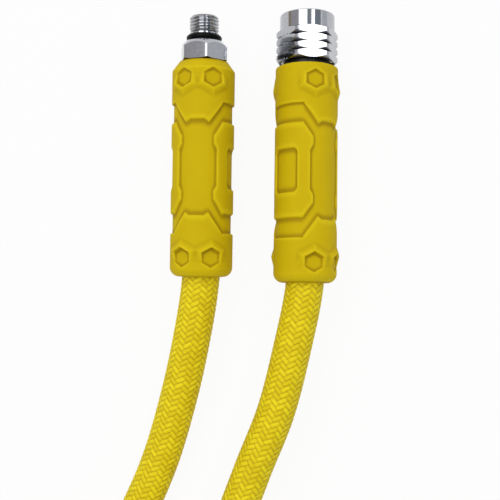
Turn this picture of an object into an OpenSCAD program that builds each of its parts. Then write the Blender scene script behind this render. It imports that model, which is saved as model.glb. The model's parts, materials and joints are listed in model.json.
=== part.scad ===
// Low-pressure air hose with a threaded fitting at one end and a
// ball-lock quick coupler at the other. Both ends wear a moulded rubber
// hose protector. Sizes are in millimetres.
//
// Each end is modelled about its own local Z axis: z = 0 is the rim of the
// hose protector, +z runs out to the fitting's tip and -z to the hose.

/* [Layout] */
// Distance between the two ends, across
end_spacing = 33.4; // [30:0.1:60]
// Place of the threaded end, across
thread_end_x = -17.1; // [-20:0.1:-15]
// Place of the threaded end's protector rim, lengthwise
thread_rim_y = 27.3; // [26:0.1:29]
// Place of the coupler end's protector rim, lengthwise
coupler_rim_y = 25.7; // [24:0.1:27]
// Height of the coupler's axis at the protector rim
coupler_rim_z = 10.42; // [10.4:0.01:12]
// How far the coupler's nose dips below level, in degrees
coupler_dip = 3.85; // [3:0.05:4.5]

/* [Hose] */
// Outer diameter of the hose
hose_d = 12.2; // [11.8:0.1:12.4]
// Bore of the hose
hose_bore_d = 6.4; // [6:0.1:7]

/* [Hose protector] */
// Length of a protector
boot_len = 69; // [66:0.5:72]
// Radius of the recessed skin
boot_recess_r = 9.4; // [9.2:0.05:9.6]
// Radius of the bands, shields and pads
boot_band_r = 10.1; // [9.9:0.05:10.3]
// Radius of the hexagon bosses
boot_boss_r = 10.95; // [10.7:0.05:11.2]
// Length of the raised band at each end
band_len = 13.8; // [13:0.1:14.5]
// Radius of the rim at the threaded end, where the lip is bevelled
bevel_lip_r = 7.9; // [7.8:0.1:8.4]
// Length of that bevel
bevel_len = 3; // [2.5:0.1:3.2]
// Radius of the rim at the coupler end, where the lip is square
square_lip_r = 10; // [9.8:0.05:10]
// Radius of the end that the hose leaves by
tail_r = 7.2; // [7:0.1:8]
// Length of the rounding there
tail_round = 3; // [2:0.1:4]
// Distance from a rim to the middle of a hexagon pit
pit_inset = 6.2; // [5.8:0.1:6.6]
// Angle from the panel's middle to a hexagon pit
pit_angle = 29; // [28:0.5:30]
// Depth of a hexagon pit below its boss
pit_depth = 1.25; // [0.8:0.05:1.4]
// Clearance between a protector and what it covers
boot_clearance = 0.15; // [0.05:0.05:0.25]
// Turn of the threaded end's protector about its axis, in degrees
thread_boot_turn = -11; // [-90:1:90]
// Turn of the coupler end's protector about its axis, in degrees
coupler_boot_turn = 45.5; // [-90:0.5:90]

/* [Crimped ends] */
// Length of a crimped ferrule
ferrule_len = 17; // [14:0.5:20]
// Wall of a ferrule
ferrule_wall = 0.75; // [0.6:0.05:0.8]
// Bore of the air passage through both fittings
air_bore_d = 3.5; // [3:0.1:4]
// Diameter of the neck that a ferrule grips
neck_d = 8.4; // [8:0.1:9]

/* [Threaded fitting] */
// Thread diameter, for a 3/8 inch 24 UNF port
port_thread_d = 9.52; // [9.4:0.01:9.6]
// Length of the thread
port_thread_len = 4.8; // [4.2:0.1:6]
// Width of the hexagon across its flats
hex_af = 14; // [13.5:0.1:14.5]
// Length of the hexagon
hex_len = 6.3; // [5.5:0.1:7]
// Gap between the protector's rim and the hexagon
hex_gap = 0.4; // [0.2:0.1:1]
// Thickness of the O-ring cord at the port
port_ring_cord = 1.85; // [1.7:0.05:2]
// Diameter of the groove floor under that O-ring
port_ring_floor_d = 8.1; // [7.9:0.1:8.4]
// Length of the collar between the O-ring and the thread
port_collar_len = 0.7; // [0.5:0.1:1]
// Length of the thread's run-out groove
runout_len = 0.8; // [0.6:0.1:1.2]
// Turn of the hexagon about the axis, in degrees
hex_turn = 46.4; // [0:0.1:60]

/* [Coupler sleeve] */
// Diameter over the grip ribs
sleeve_rib_d = 20.1; // [19.9:0.1:20.4]
// Diameter at the bottom of the grooves between the ribs
sleeve_groove_d = 17.96; // [17.9:0.02:18.2]
// Diameter of the nose
sleeve_nose_d = 17.8; // [17.7:0.1:18.2]
// Distance from one rib to the next
rib_pitch = 2.55; // [2.4:0.05:2.6]
// Number of grip ribs
rib_count = 4; // [3:1:4]
// Width of the land on a rib
rib_land = 0.5; // [0.2:0.1:0.8]
// Distance between opposite milled flats
flat_width = 17.86; // [17.8:0.02:18]
// Number of milled flats around the sleeve
flat_count = 6; // [4:1:6]
// Turn of the flats about the axis, in degrees
flat_turn = 11.8; // [0:0.1:60]
// Distance from the protector's rim to the sleeve's nose
sleeve_front = 17.5; // [17.4:0.1:18]
// How far the sleeve pulls back to let go, which sets the gap behind it
sleeve_travel = 1.3; // [1:0.05:1.4]

/* [Coupler inside] */
// Diameter of the plug that the coupler takes
plug_d = 10; // [9.8:0.1:10.2]
// Diameter of the coupler body's barrel
barrel_d = 14; // [13.8:0.1:14.2]
// Diameter of the flange that carries the sleeve
flange_d = 16.88; // [16.86:0.01:16.9]
// Diameter of the coupler body behind the flange
shank_d = 14.8; // [14.4:0.1:15]
// Running clearance, measured on the radius
running_gap = 0.05; // [0.03:0.01:0.08]
// Diameter of a locking ball
ball_d = 2.6; // [2.4:0.1:2.6]
// Number of locking balls
ball_count = 6; // [6]
// How far a locked ball stands into the plug bore
ball_bite = 0.5; // [0.4:0.05:0.5]
// Distance from the protector's rim to the balls
ball_z = 12.8; // [12.8:0.1:13]
// Slope of the sleeve's inner cone, rise over run
cone_slope = 0.5; // [0.5:0.05:0.6]
// Wire of the sleeve spring
sleeve_wire_d = 0.8; // [0.7:0.05:0.9]
// Turns of the sleeve spring
sleeve_turns = 4; // [3:0.5:4]
// Thickness of the O-ring cord that seals the plug
plug_ring_cord = 1.4; // [1.3:0.05:1.5]
// Diameter of the valve core
core_d = 5.2; // [5:0.1:5.4]
// How far the valve pin is pushed in, which sets the room behind it
pin_travel = 1.3; // [1:0.05:1.4]
// Wire of the valve spring
pin_wire_d = 0.35; // [0.3:0.05:0.4]
// Turns of the valve spring
pin_turns = 5; // [4:1:6]

/* [Hidden] */
$fn = 64;

chrome = [0.78, 0.79, 0.81];
brass = [0.80, 0.66, 0.36];
black = [0.08, 0.08, 0.08];
boot_yellow = [0.80, 0.70, 0.04];
braid_yellow = [0.90, 0.82, 0.10];
steel = [0.62, 0.63, 0.65];

hose_r = hose_d / 2;
hose_bore_r = hose_bore_d / 2;
air_r = air_bore_d / 2;
neck_r = neck_d / 2;
ferrule_r = hose_r + ferrule_wall;
tiny = 0.01;
seam = 0.02;

// Threaded end: stations along its axis
crimp_top = -2.5;
hex_base = hex_gap;
hex_top = hex_base + hex_len;
port_ring_top = hex_top + port_ring_cord + 0.15;
collar_top = port_ring_top + port_collar_len;
thread_base = collar_top + runout_len;
thread_tip = thread_base + port_thread_len;

// Coupler end: stations along its axis
sleeve_gap = sleeve_travel + 0.6;
barrel_tip = sleeve_front - 0.3;
ring_land = sleeve_gap + 0.3;
retainer_t = 0.65;
flange_back = ring_land + retainer_t + 0.05;
flange_t = 1;
flange_front = flange_back + flange_t;
spring_base = flange_front;
spring_stop = 9.6;
cone_start = ball_z - 0.6;
barrel_r = barrel_d / 2;
plug_r = plug_d / 2;
mouth_r = plug_r + 0.6;
mouth_depth = 2.3;
mouth_lead = 0.6;
ball_r = ball_d / 2;
ball_orbit = plug_r - ball_bite + ball_r;
guide_r = barrel_r + running_gap;
sleeve_bore_r = flange_d / 2 + running_gap;
relief_r = guide_r + 0.8;
plug_floor = 8;
ring_groove_base = 8.6;
ring_groove_len = 1.9;
ring_groove_r = plug_r + 1.15;
shank_base = -11;
passage_r = core_d / 2 + seam;
core_base = -2.2;
core_front = 3.2;
seal_t = 0.9;
pin_foot = 0.5;
stem_seat = core_base - seal_t - pin_foot - pin_travel - 0.7;
seal_r = core_d / 2 - 0.6;
pin_r = 0.5;
pin_head_r = 1.1;
pin_head_base = 6.9;
pin_tip = plug_floor + 0.2;

// The end that is set at an angle, seen from above: 0 faces up and
// positive angles turn towards the right.
module facing(angle) {
    rotate([0, 0, angle - 90])
        children();
}

module at_thread_end() {
    translate([thread_end_x, thread_rim_y, boot_boss_r])
        rotate([-90, 0, 0])
            children();
}

module at_coupler_end() {
    translate([thread_end_x + end_spacing, coupler_rim_y, coupler_rim_z])
        rotate([-90 - coupler_dip, 0, 0])
            children();
}

// A tube about Z from z0 up to z1.
module tube(z0, z1, outer_r, inner_r) {
    difference() {
        translate([0, 0, z0])
            cylinder(r = outer_r, h = z1 - z0);
        translate([0, 0, z0 - 1])
            cylinder(r = inner_r, h = z1 - z0 + 2);
    }
}

// A ring of round cord about Z.
module cord_ring(z, mean_r, cord_r) {
    translate([0, 0, z])
        rotate_extrude()
            translate([mean_r, 0])
                circle(r = cord_r, $fn = 32);
}

// ---------------------------------------------------------------- protector

// The protector's plain outer form: lip, barrel and rounded tail.
module boot_blank(lip_r, lip_len) {
    tail_points = [for (a = [0:15:90])
        [tail_r + (boot_band_r - tail_r) * cos(a), tail_round * (1 - sin(a)) - boot_len]];
    rotate_extrude()
        polygon(concat([[0, 0], [lip_r, 0], [boot_band_r, -lip_len]], tail_points,
                       [[0, -boot_len]]));
}

// The form that the hexagon bosses are cut from: it swells away from the rim.
module boss_blank(start) {
    low_r = boot_band_r - 0.35;
    run = 8;
    rotate_extrude()
        polygon([[0, -start], [low_r, -start], [boot_boss_r, -run],
                 [boot_boss_r, -run - 6], [0, -run - 6]]);
}

// A flat outline, x around the skin and y along the axis, driven outwards.
module radial_block(depth = 14) {
    rotate([90, 0, 90])
        linear_extrude(height = depth)
            children();
}

function arc_x(angle) = boot_band_r * sin(angle);

// What stands at the rim, mirrored to the tail.
module at_tail() {
    translate([0, 0, -boot_len])
        mirror([0, 0, 1])
            children();
}

module both_ends() {
    children();
    at_tail()
        children();
}

module shield_outline() {
    polygon([[arc_x(-50), -band_len + 1], [arc_x(-50), -14.2], [arc_x(-22.5), -20.4],
             [arc_x(-14), -19.4], [arc_x(14), -19.4], [arc_x(22.5), -20.4],
             [arc_x(50), -14.2], [arc_x(50), -band_len + 1]]);
}

module pocket_outline() {
    half = 4.9;
    top = 28;
    corner = 1;
    for (side = [-1, 1])
        translate([side * (half - corner), 0])
            for (y = [-top - corner, top + corner - boot_len])
                translate([0, y])
                    circle(r = corner, $fn = 24);
    translate([-half, top + corner - boot_len])
        square([2 * half, boot_len - 2 * (top + corner)]);
    translate([corner - half, top - boot_len])
        square([2 * (half - corner), boot_len - 2 * top]);
}

module pad_outline() {
    edge = [[39, 20], [58, 24.6], [58, 27], [52, 28.8]];
    right = [for (p = edge) [arc_x(p[0]), -p[1]]];
    right_low = [for (i = [3:-1:0]) [arc_x(edge[i][0]), edge[i][1] - boot_len]];
    half = concat(right, right_low);
    difference() {
        polygon(concat(half, [for (i = [len(half) - 1:-1:0]) [-half[i][0], half[i][1]]]));
        pocket_outline();
    }
}

module hexagon_outline(width, height) {
    translate([0, -pit_inset])
        polygon([[0, height / 2], [width / 2, height / 4], [width / 2, -height / 4],
                 [0, -height / 2], [-width / 2, -height / 4], [-width / 2, height / 4]]);
}

// The sunk skin between the bands, left by the shields and the pads.
module relief_cutter() {
    difference() {
        tube(band_len - boot_len, -band_len, boot_boss_r + 2, boot_recess_r);
        for (face = [0, 180])
            rotate([0, 0, face])
                both_ends()
                    radial_block()
                        shield_outline();
        for (face = [90, 270])
            rotate([0, 0, face])
                radial_block()
                    pad_outline();
    }
}

// The four hexagon bosses beside a rim.
module bosses(start) {
    boss_w = 10.8;
    boss_h = 11.2;
    intersection() {
        boss_blank(start);
        for (face = [0, 180], side = [-1, 1])
            rotate([0, 0, face + side * pit_angle])
                radial_block()
                    hexagon_outline(boss_w, boss_h);
    }
}

module boot_solid(lip_r, lip_len, socket_r, socket_len) {
    pit_w = 6.4;
    pit_h = 6.6;
    difference() {
        union() {
            difference() {
                boot_blank(lip_r, lip_len);
                relief_cutter();
            }
            bosses(lip_len + 0.8);
            at_tail()
                bosses(tail_round + 0.8);
        }
        for (face = [0, 180], side = [-1, 1])
            rotate([0, 0, face + side * pit_angle])
                both_ends()
                    translate([boot_boss_r - pit_depth, 0, 0])
                        radial_block(depth = 3)
                            hexagon_outline(pit_w, pit_h);
        translate([0, 0, -boot_len - 1])
            cylinder(r = hose_r + boot_clearance, h = boot_len + 2);
        translate([0, 0, -socket_len])
            cylinder(r = socket_r, h = socket_len + 1);
    }
}

// ------------------------------------------------------------- crimped hose

// The barbed tail that the hose is pushed over, down from its neck.
module barbs(top) {
    barb_len = 3;
    barb_count = 4;
    root_r = hose_bore_r - 0.45;
    for (i = [0:barb_count - 1])
        translate([0, 0, top - (i + 1) * barb_len])
            cylinder(r1 = root_r, r2 = hose_bore_r, h = barb_len);
}

// A ferrule: a cup over the hose's end whose floor grips the neck.
module ferrule(top) {
    floor_t = 1.2;
    crimp_count = 3;
    crimp_pitch = 4;
    difference() {
        translate([0, 0, top - ferrule_len])
            cylinder(r = ferrule_r, h = ferrule_len);
        translate([0, 0, top - ferrule_len - 1])
            cylinder(r = hose_r, h = ferrule_len + 1 - floor_t);
        translate([0, 0, top - floor_t - 1])
            cylinder(r = neck_r, h = floor_t + 2);
        for (i = [1:crimp_count])
            translate([0, 0, top - floor_t - i * crimp_pitch])
                rotate_extrude()
                    translate([ferrule_r + 0.6, 0])
                        circle(r = 1, $fn = 24);
    }
}

// The hose's straight end inside a protector.
module hose_end(top) {
    floor_t = 1.2;
    tube(-boot_len, top - floor_t, hose_r, hose_bore_r);
}

module thread_end_hose() {
    color(braid_yellow)
        at_thread_end()
            hose_end(crimp_top);
}

module coupler_end_hose() {
    color(braid_yellow)
        at_coupler_end()
            hose_end(shank_base - seam);
}

module thread_ferrule() {
    color(chrome)
        at_thread_end()
            ferrule(crimp_top);
}

module coupler_ferrule() {
    color(chrome)
        at_coupler_end()
            ferrule(shank_base - seam);
}

module thread_boot() {
    color(boot_yellow)
        at_thread_end()
            facing(thread_boot_turn)
                boot_solid(bevel_lip_r, bevel_len, ferrule_r + boot_clearance,
                           ferrule_len - crimp_top + 1);
}

module coupler_boot() {
    color(boot_yellow)
        at_coupler_end()
            facing(coupler_boot_turn)
                boot_solid(square_lip_r, 0.4, shank_d / 2 + boot_clearance,
                           ferrule_len - shank_base + 1);
}

// --------------------------------------------------------- threaded fitting

module hexagon_body() {
    corner_r = hex_af / 2 / cos(30);
    bevel = 0.7;
    intersection() {
        translate([0, 0, hex_base])
            facing(hex_turn)
                cylinder(r = corner_r, h = hex_len, $fn = 6);
        rotate_extrude()
            polygon([[0, hex_base], [corner_r - bevel, hex_base],
                     [corner_r + tiny, hex_base + bevel / 2],
                     [corner_r + tiny, hex_top - bevel / 2], [corner_r - bevel, hex_top],
                     [0, hex_top]]);
    }
}

module thread_fitting() {
    thread_r = port_thread_d / 2;
    floor_r = port_ring_floor_d / 2;
    root_r = thread_r - 0.62;
    chamfer = 0.6;
    color(chrome)
        at_thread_end()
            difference() {
                union() {
                    hexagon_body();
                    rotate_extrude()
                        polygon([[0, crimp_top - 1.2], [neck_r, crimp_top - 1.2],
                                 [neck_r, crimp_top], [neck_r + 1.4, crimp_top + seam],
                                 [neck_r + 1.4, hex_base + tiny], [0, hex_base + tiny]]);
                    rotate_extrude()
                        polygon([[0, hex_top - tiny], [floor_r, hex_top - tiny],
                                 [floor_r, port_ring_top], [thread_r + 0.1, port_ring_top],
                                 [thread_r + 0.1, collar_top - 0.15],
                                 [thread_r - 0.05, collar_top], [root_r, collar_top + 0.1],
                                 [root_r, thread_base - 0.2], [thread_r, thread_base],
                                 [thread_r, thread_tip - chamfer],
                                 [thread_r - chamfer, thread_tip], [0, thread_tip]]);
                    barbs(crimp_top - 1.2 + tiny);
                }
                translate([0, 0, -boot_len])
                    cylinder(r = air_r, h = boot_len + thread_tip + 1);
                translate([0, 0, thread_tip - 0.7])
                    cylinder(r1 = air_r, r2 = air_r + 0.8, h = 0.71);
            }
}

module port_o_ring() {
    cord_r = port_ring_cord / 2;
    color(black)
        at_thread_end()
            cord_ring(hex_top + 0.07 + cord_r, port_ring_floor_d / 2 + cord_r, cord_r);
}

// ------------------------------------------------------------- coupler body

module coupler_stem() {
    spigot_r = 4.2 - seam;
    top = stem_seat - 0.2;
    ring_groove_r = 3.5;
    color(brass)
        at_coupler_end()
            difference() {
                union() {
                    rotate_extrude()
                        polygon([[0, shank_base - 1.2], [neck_r, shank_base - 1.2],
                                 [neck_r, shank_base - seam],
                                 [spigot_r, shank_base], [spigot_r, top - 3],
                                 [ring_groove_r, top - 3], [ring_groove_r, top - 1.2],
                                 [spigot_r, top - 1.2], [spigot_r, top], [0, top]]);
                    barbs(shank_base - 1.2 + tiny);
                }
                translate([0, 0, -boot_len])
                    cylinder(r = air_r, h = boot_len);
            }
}

module stem_o_ring() {
    cord_r = 0.35;
    color(black)
        at_coupler_end()
            cord_ring(stem_seat - 0.2 - 2.1, 3.5 + cord_r, cord_r);
}

// Radial holes for the balls, each with a lip that stops its ball.
module ball_holes() {
    lip_r = ball_r - 0.1;
    lip_depth = plug_r + 0.25;
    for (i = [0:ball_count - 1])
        rotate([0, 0, i * 360 / ball_count])
            translate([0, 0, ball_z])
                rotate([0, 90, 0]) {
                    translate([0, 0, plug_r - 1])
                        cylinder(r = lip_r, h = 2);
                    translate([0, 0, lip_depth])
                        cylinder(r = ball_r + 0.03, h = barrel_r);
                }
}

module coupler_body() {
    mouth_bevel = 0.4;
    color(chrome)
        at_coupler_end()
            difference() {
                rotate_extrude()
                    polygon([[0, shank_base], [shank_d / 2, shank_base],
                             [shank_d / 2, flange_back], [flange_d / 2, flange_back],
                             [flange_d / 2, flange_front], [barrel_r, flange_front],
                             [barrel_r, barrel_tip - 0.4], [barrel_r - 0.4, barrel_tip],
                             [0, barrel_tip]]);
                rotate_extrude()
                    polygon([[0, plug_floor], [plug_r, plug_floor],
                             [plug_r, ring_groove_base], [ring_groove_r, ring_groove_base],
                             [ring_groove_r, ring_groove_base + ring_groove_len],
                             [plug_r, ring_groove_base + ring_groove_len],
                             [plug_r, barrel_tip - mouth_depth - mouth_lead],
                             [mouth_r, barrel_tip - mouth_depth],
                             [mouth_r, barrel_tip - mouth_bevel],
                             [mouth_r + mouth_bevel, barrel_tip + tiny],
                             [0, barrel_tip + tiny]]);
                translate([0, 0, stem_seat])
                    cylinder(r = passage_r, h = plug_floor - stem_seat + tiny);
                translate([0, 0, shank_base - tiny])
                    cylinder(r = 4.2, h = stem_seat - shank_base + tiny);
                ball_holes();
            }
}

module plug_o_ring() {
    cord_r = plug_ring_cord / 2;
    color(black)
        at_coupler_end()
            cord_ring(ring_groove_base + ring_groove_len / 2, ring_groove_r - cord_r - seam,
                      cord_r);
}

// ------------------------------------------------------------------- sleeve

// Station of rib i, counted from the back.
function rib_z(i) = sleeve_gap + 1.5 + i * rib_pitch;

module sleeve_profile() {
    rib_r = sleeve_rib_d / 2;
    groove_r = sleeve_groove_d / 2;
    nose_r = sleeve_nose_d / 2;
    land = rib_land / 2;
    nose_base = rib_z(rib_count - 1) + 1.25;
    nose_bevel = 0.4;
    ring_groove_outer = sleeve_bore_r + 0.35;
    ribs = [for (i = [0:rib_count - 1], p = [
        [rib_r, rib_z(i) - land],
        [rib_r, rib_z(i) + land],
        [i < rib_count - 1 ? groove_r : nose_r,
         i < rib_count - 1 ? rib_z(i) + rib_pitch / 2 : nose_base]]) p];
    cone_end = cone_start + (relief_r - guide_r) / cone_slope;
    polygon(concat(
        [[sleeve_bore_r, sleeve_gap], [rib_r - 0.8, sleeve_gap]],
        ribs,
        [[nose_r, sleeve_front - nose_bevel], [nose_r - nose_bevel, sleeve_front],
         [relief_r, sleeve_front], [relief_r, cone_end], [guide_r, cone_start],
         [guide_r, spring_stop], [sleeve_bore_r, spring_stop],
         [sleeve_bore_r, flange_back - 0.02], [ring_groove_outer, flange_back - 0.02],
         [ring_groove_outer, ring_land - 0.03], [sleeve_bore_r, ring_land - 0.03]]));
}

module locking_sleeve() {
    flat_len = rib_z(rib_count - 1) + rib_pitch / 2 - sleeve_gap + 1;
    color(chrome)
        at_coupler_end()
            difference() {
                rotate_extrude()
                    sleeve_profile();
                for (i = [0:flat_count - 1])
                    facing(flat_turn + i * 360 / flat_count)
                        translate([flat_width / 2, -sleeve_rib_d / 2, sleeve_gap - 1])
                            cube([3, sleeve_rib_d, flat_len]);
            }
}

module sleeve_retaining_ring() {
    gap_half = 1.2;
    outer_r = sleeve_bore_r + 0.32;
    inner_r = shank_d / 2 + 0.2;
    color(steel)
        at_coupler_end()
            difference() {
                tube(ring_land, ring_land + retainer_t, outer_r, inner_r);
                translate([0, -gap_half, ring_land - 1])
                    cube([outer_r + 1, 2 * gap_half, retainer_t + 2]);
            }
}

// A round-wire helix from z0 to z1, ring by ring, closed at both ends.
module helix(z0, z1, mean_r, wire_r, turns, sides = 6, steps_per_turn = 16) {
    steps = turns * steps_per_turn;
    rise = (z1 - z0 - 2 * wire_r) / steps;
    points = [for (i = [0:steps], j = [0:sides - 1])
        let (turn = i * 360 / steps_per_turn, side = j * 360 / sides,
             r = mean_r + wire_r * cos(side))
        [r * cos(turn), r * sin(turn), z0 + wire_r + rise * i + wire_r * sin(side)]];
    skin = [for (i = [0:steps - 1], j = [0:sides - 1])
        let (a = i * sides + j, b = i * sides + (j + 1) % sides)
        each [[a, b, b + sides], [a, b + sides, a + sides]]];
    first_cap = [for (j = [1:sides - 2]) [0, j + 1, j]];
    last = steps * sides;
    last_cap = [for (j = [1:sides - 2]) [last, last + j, last + j + 1]];
    polyhedron(points, concat(skin, first_cap, last_cap), convexity = 8);
}

module sleeve_spring() {
    mean_r = (barrel_r + sleeve_bore_r) / 2;
    color(steel)
        at_coupler_end()
            helix(spring_base + seam, spring_stop - seam, mean_r, sleeve_wire_d / 2,
                  sleeve_turns);
}

module locking_ball(i) {
    color(steel)
        at_coupler_end()
            rotate([0, 0, i * 360 / ball_count])
                translate([ball_orbit, 0, ball_z])
                    sphere(r = ball_r);
}

// --------------------------------------------------------------- valve core

module valve_core_body() {
    bore_r = 0.95;
    color(brass)
        at_coupler_end()
            tube(core_base, core_front, core_d / 2, bore_r);
}

module valve_pin() {
    color(steel)
        at_coupler_end()
            rotate_extrude()
                polygon([[0, core_base - seal_t - pin_foot], [1, core_base - seal_t - pin_foot],
                         [1, core_base - seal_t - seam], [pin_r, core_base - seal_t - seam],
                         [pin_r, pin_head_base], [pin_head_r, pin_head_base],
                         [pin_head_r, pin_tip - 0.3], [pin_head_r - 0.3, pin_tip],
                         [0, pin_tip]]);
}

module valve_seal() {
    color(black)
        at_coupler_end()
            tube(core_base - seal_t, core_base - seam, seal_r, pin_r + seam);
}

module valve_spring() {
    mean_r = pin_r + 0.12 + pin_wire_d / 2;
    color(steel)
        at_coupler_end()
            helix(core_front + seam, pin_head_base - seam, mean_r, pin_wire_d / 2, pin_turns);
}

// --------------------------------------------------------------------- hose

// The free hose's route between the two protectors, as it lies: down from
// the threaded end, round one open loop on the ground and up to the coupler.
ROUTE = [[-20, -62.5, 10.2], [-24.5, -83.5, 8.5], [-30.5, -104, 6.9], [-39, -123.5, 6.1],
         [-49.5, -142, 6.1], [-61.5, -159.5, 6.1], [-75, -176, 6.1], [-84, -195, 6.1],
         [-85, -216, 6.1], [-76.5, -235.5, 6.1], [-61, -250, 6.1], [-41, -256.5, 6.1],
         [-20, -254.5, 6.1], [-1.5, -243.5, 6.1], [10.5, -226, 6.2], [14, -205.5, 7],
         [9, -185, 8.2], [-1, -166, 10], [-7.5, -146, 11.7], [-6.5, -125, 13.4],
         [0, -104.5, 14.9], [7.5, -84.5, 15.8], [12.5, -64, 15.9]];

thread_mouth = [thread_end_x, thread_rim_y - boot_len, boot_boss_r];
coupler_out = [0, -cos(coupler_dip), sin(coupler_dip)];
coupler_mouth = [thread_end_x + end_spacing, coupler_rim_y, coupler_rim_z]
              + boot_len * coupler_out;
lead = 20;
stops = concat([thread_mouth + [0, lead, 0], thread_mouth], ROUTE,
               [coupler_mouth, coupler_mouth - lead * coupler_out]);
rings_per_stop = 2;

// A point on the smooth curve between stops i and i + 1.
function curve(i, t) =
    let (a = stops[i - 1], b = stops[i], c = stops[i + 1], d = stops[i + 2])
    0.5 * (2 * b + (c - a) * t + (2 * a - 5 * b + 4 * c - d) * t * t
           + (3 * b - a - 3 * c + d) * t * t * t);

line = concat([for (i = [1:len(stops) - 3], k = [0:rings_per_stop - 1])
                  curve(i, k / rings_per_stop)],
              [coupler_mouth]);

function unit(v) = v / norm(v);

function heading(i) =
    i == 0 ? [0, -1, 0]
    : i == len(line) - 1 ? -coupler_out
    : unit(line[i + 1] - line[i - 1]);

module hose() {
    sides = 12;
    count = len(line);
    points = [for (shell = [hose_r, hose_bore_r], i = [0:count - 1], j = [0:sides - 1])
        let (across = unit(cross(heading(i), [0, 0, 1])),
             up = cross(across, heading(i)), a = (j + 0.5) * 360 / sides)
        line[i] + shell * (cos(a) * across + sin(a) * up)];
    inner = count * sides;
    walls = [for (i = [0:count - 2], j = [0:sides - 1])
        let (a = i * sides + j, b = i * sides + (j + 1) % sides)
        each [[a, b + sides, b], [a, a + sides, b + sides],
              [inner + a, inner + b, inner + b + sides],
              [inner + a, inner + b + sides, inner + a + sides]]];
    last = (count - 1) * sides;
    ends = [for (j = [0:sides - 1])
        let (k = (j + 1) % sides)
        each [[j, k, inner + k], [j, inner + k, inner + j],
              [last + j, inner + last + k, last + k],
              [last + j, inner + last + j, inner + last + k]]];
    color(braid_yellow)
        polyhedron(points, concat(walls, ends), convexity = 10);
}

hose();
thread_end_hose();
coupler_end_hose();
thread_fitting();
port_o_ring();
thread_ferrule();
thread_boot();
coupler_stem();
stem_o_ring();
coupler_ferrule();
coupler_boot();
coupler_body();
locking_sleeve();
sleeve_retaining_ring();
sleeve_spring();
locking_ball(0);  // locking_ball_1
locking_ball(1);  // locking_ball_2
locking_ball(2);  // locking_ball_3
locking_ball(3);  // locking_ball_4
locking_ball(4);  // locking_ball_5
locking_ball(5);  // locking_ball_6
plug_o_ring();
valve_core_body();
valve_spring();
valve_pin();
valve_seal();
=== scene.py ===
# %% [markdown]
# # An air hose with two dressed ends
#
# A low-pressure air hose carries air from a regulator to a jacket. It has a
# woven yellow cover, a chromed threaded fitting at one end and a chromed
# quick coupler at the other, and each end wears a moulded rubber protector.
#
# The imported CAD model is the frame: it fixes every size and place. This
# lesson gives each piece its finish, and remakes in finer mesh the pieces
# whose surface says most about them: the braid, the moulded rubber, the
# screw thread and the milled sleeve.

# %% Load the frame
import json
import math

import bpy
import numpy as np
from mathutils import Matrix, Vector


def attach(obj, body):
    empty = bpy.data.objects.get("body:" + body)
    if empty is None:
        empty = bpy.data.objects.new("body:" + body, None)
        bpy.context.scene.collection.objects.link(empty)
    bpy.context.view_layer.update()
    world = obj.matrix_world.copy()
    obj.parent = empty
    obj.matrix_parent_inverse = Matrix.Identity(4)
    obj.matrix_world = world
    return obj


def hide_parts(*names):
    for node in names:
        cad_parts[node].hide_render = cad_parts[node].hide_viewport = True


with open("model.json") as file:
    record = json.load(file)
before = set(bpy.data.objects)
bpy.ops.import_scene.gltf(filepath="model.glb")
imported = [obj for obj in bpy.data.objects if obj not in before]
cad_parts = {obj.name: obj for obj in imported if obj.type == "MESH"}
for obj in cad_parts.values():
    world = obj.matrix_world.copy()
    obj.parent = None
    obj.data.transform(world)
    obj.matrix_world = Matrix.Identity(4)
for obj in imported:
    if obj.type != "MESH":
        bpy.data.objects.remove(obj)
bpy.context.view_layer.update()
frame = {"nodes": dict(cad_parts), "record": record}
mounts = {m["name"]: m for m in frame["record"]["mounts"]}

# %% [markdown]
# ## Two ends, two axes
#
# Everything at an end turns about one axis. So each end gets a matrix whose
# Z axis runs out of the fitting, with zero at the protector's rim, and every
# piece there is drawn about Z in millimetres and then carried into place.

# %% Where the two ends lie
MM = 0.001
BOOT_LEN = 69           # mm, rim to tail of a protector
THREAD_STATION = 12.3   # mm from the rim to the middle of the thread
SOCKET_STATION = 15.85  # mm from the rim to the middle of the coupler's mouth


def end_matrix(mount, station):
    """Millimetres about an end's own axis, to metres in the row frame."""
    axis = Vector(mount["axis"]).normalized()
    rim = Vector(mount["pos_m"]) - axis * station * MM
    across = Vector((1, 0, 0))
    turn = Matrix((across, axis.cross(across), axis)).transposed().to_4x4()
    return Matrix.Translation(rim) @ turn @ Matrix.Scale(MM, 4)


at_thread = end_matrix(mounts["first_stage_thread"], THREAD_STATION)
at_coupler = end_matrix(mounts["coupler_socket"], SOCKET_STATION)
print("rims at", [round(x, 4) for x in at_thread.translation],
      [round(x, 4) for x in at_coupler.translation])

# %% [markdown]
# ## The camera
#
# The hose lies flat and is seen from straight above, close enough for the
# fittings at the top to show a little of the curve of their rims.

# %% Camera
VIEW_X, VIEW_Y = -1.33, -32.9   # the point under the lens, mm
VIEW_HEIGHT = 286.3             # mm above the ground
FRAME_PX, FOCAL_PX = 500, 850   # width and focal length of the frame in pixels
SENSOR = 36                     # mm
ROLL = 0.8                      # degrees

camera_data = bpy.data.cameras.new("camera")
camera_data.sensor_width = SENSOR
camera_data.lens = FOCAL_PX / FRAME_PX * SENSOR
camera_data.clip_start = 0.01
camera = bpy.data.objects.new("camera", camera_data)
camera.location = Vector((VIEW_X, VIEW_Y, VIEW_HEIGHT)) * MM
camera.rotation_euler = (0, 0, math.radians(ROLL))
bpy.context.scene.collection.objects.link(camera)
bpy.context.scene.camera = camera
print("lens", round(camera_data.lens, 1), "mm")

# %% [markdown]
# ## Helpers for meshes
#
# A mesh is made from arrays of points in millimetres, and one matrix puts it
# in place. Faces are smooth, and edges sharper than a given angle are marked,
# so a rounded form shades round and a cut edge stays crisp.

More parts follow.
